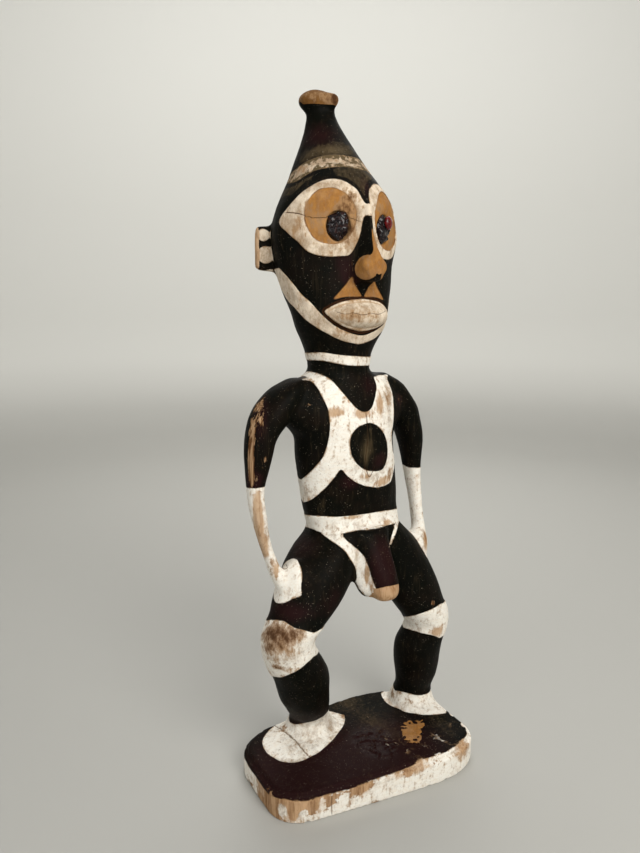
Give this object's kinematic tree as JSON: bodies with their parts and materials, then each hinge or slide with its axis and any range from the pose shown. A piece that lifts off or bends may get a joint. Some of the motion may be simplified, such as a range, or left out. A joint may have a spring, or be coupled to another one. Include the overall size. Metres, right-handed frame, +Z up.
{
  "type": "carved standing figure",
  "caption": "Painted wooden figure carved in one with its plinth: knees bent, arms free of the body, pointed cap with a knob, block ears and inlaid eyes.",
  "frame": {"origin": "middle of the plinth's underside, below the figure", "axes": "+Z up along the figure, -Y the way the figure faces, +X the figure's left"},
  "size_m": [0.3003, 0.217, 0.8798],
  "materials": {
    "painted_wood": "black, white and ochre paint, worn",
    "dark_resin": "lumpy, glossy",
    "red_seed": "glossy"
  },
  "bodies": {
    "root": {"carved_figure": "painted_wood", "right_eye_inlay": "dark_resin", "left_eye_inlay": "dark_resin", "left_eye_seed": "red_seed"}
  },
  "joints": []
}
